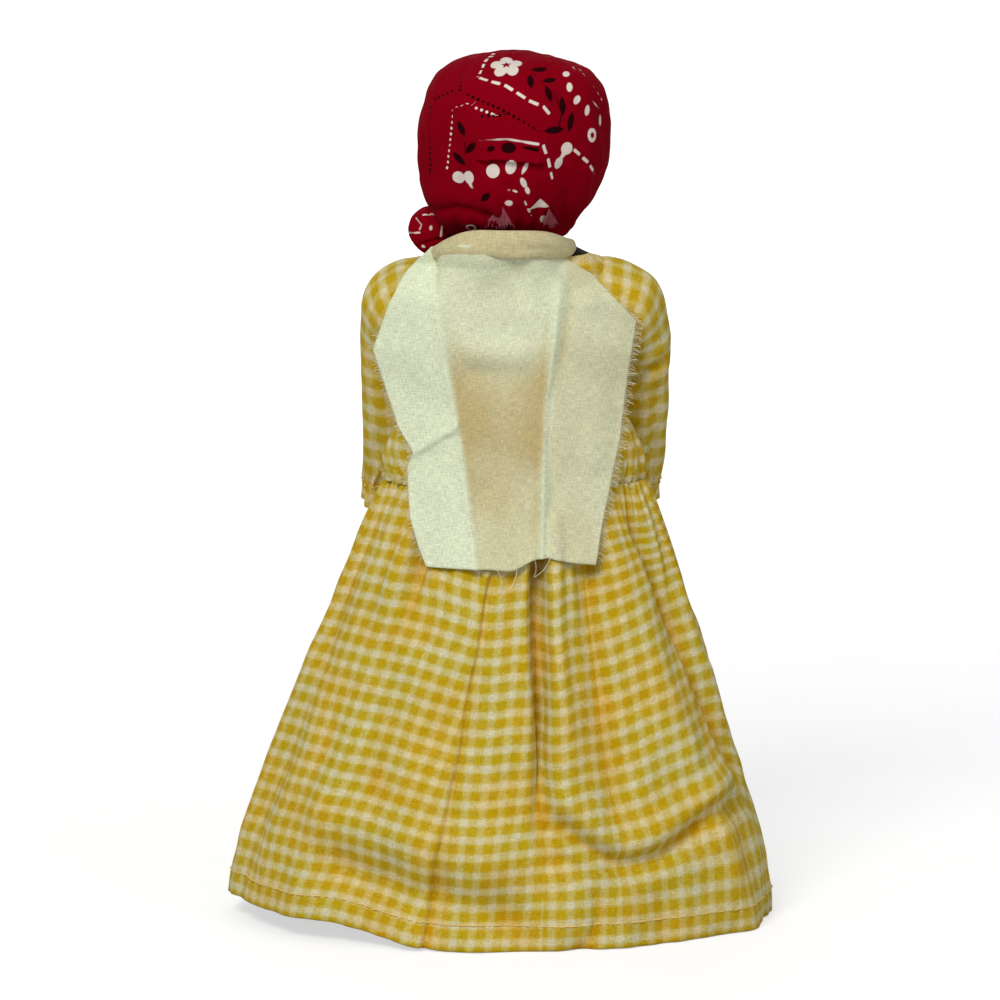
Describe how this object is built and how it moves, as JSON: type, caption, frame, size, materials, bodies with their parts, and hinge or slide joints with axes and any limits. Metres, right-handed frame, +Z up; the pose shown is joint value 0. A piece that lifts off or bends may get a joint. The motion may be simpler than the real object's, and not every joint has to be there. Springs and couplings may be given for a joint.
{
  "type": "cloth doll",
  "caption": "Stuffed cloth doll standing on a gathered floor-length check dress, with puffed sleeves, a knotted printed kerchief and a raw-edged muslin shawl tied at the neck.",
  "frame": {"origin": "on the surface the doll stands on, under the middle of the skirt's hem", "axes": "+Z up, the doll faces -Y, and its own left is +X"},
  "size_m": [0.1954, 0.138, 0.3114],
  "materials": {
    "gingham": "plain-woven cotton in a small two-tone check",
    "muslin": "loosely woven unbleached cotton, raw edges",
    "kerchief": "printed cotton",
    "skin": "dark plain-woven cotton, stuffed",
    "wadding": "loose fibre stuffing",
    "thread": "sewing thread",
    "embroidery": "satin-stitched cotton thread"
  },
  "bodies": {
    "torso": {"torso_cover": "skin", "torso_stuffing": "wadding", "bodice": "gingham", "skirt": "gingham", "shawl": "muslin", "shawl_knot": "muslin"},
    "head": {"head_cover": "skin", "head_stuffing": "wadding", "eye_left": "embroidery", "eye_right": "embroidery", "mouth": "embroidery", "kerchief": "kerchief", "kerchief_knot": "kerchief", "kerchief_tuft": "kerchief"},
    "arm_left": {"arm_cover_left": "skin", "arm_stuffing_left": "wadding", "sleeve_left": "gingham", "wrist_thread_left": "thread"},
    "arm_right": {"arm_cover_right": "skin", "arm_stuffing_right": "wadding", "sleeve_right": "gingham", "wrist_thread_right": "thread"},
    "leg_left": {"leg_cover_left": "skin", "leg_stuffing_left": "wadding"},
    "leg_right": {"leg_cover_right": "skin", "leg_stuffing_right": "wadding"}
  },
  "joints": [
    {"name": "neck_turn", "type": "hinge", "parent": "torso", "child": "head", "pos_m": [-0.005, 0, 0.242], "axis": [0, 0, 1], "range_deg": [-20, 6], "stiffness_Nm_per_rad": 0.03},
    {"name": "shoulder_left", "type": "hinge", "parent": "torso", "child": "arm_left", "pos_m": [0.028, 0, 0.22], "axis": [-1, 0, 0], "range_deg": [0, 90]},
    {"name": "shoulder_right", "type": "hinge", "parent": "torso", "child": "arm_right", "pos_m": [-0.038, 0, 0.22], "axis": [-1, 0, 0], "range_deg": [0, 90]},
    {"name": "hip_left", "type": "hinge", "parent": "torso", "child": "leg_left", "pos_m": [0.01, 0, 0.134], "axis": [-1, 0, 0], "range_deg": [-18, 14]},
    {"name": "hip_right", "type": "hinge", "parent": "torso", "child": "leg_right", "pos_m": [-0.02, 0, 0.134], "axis": [-1, 0, 0], "range_deg": [-18, 14]}
  ]
}
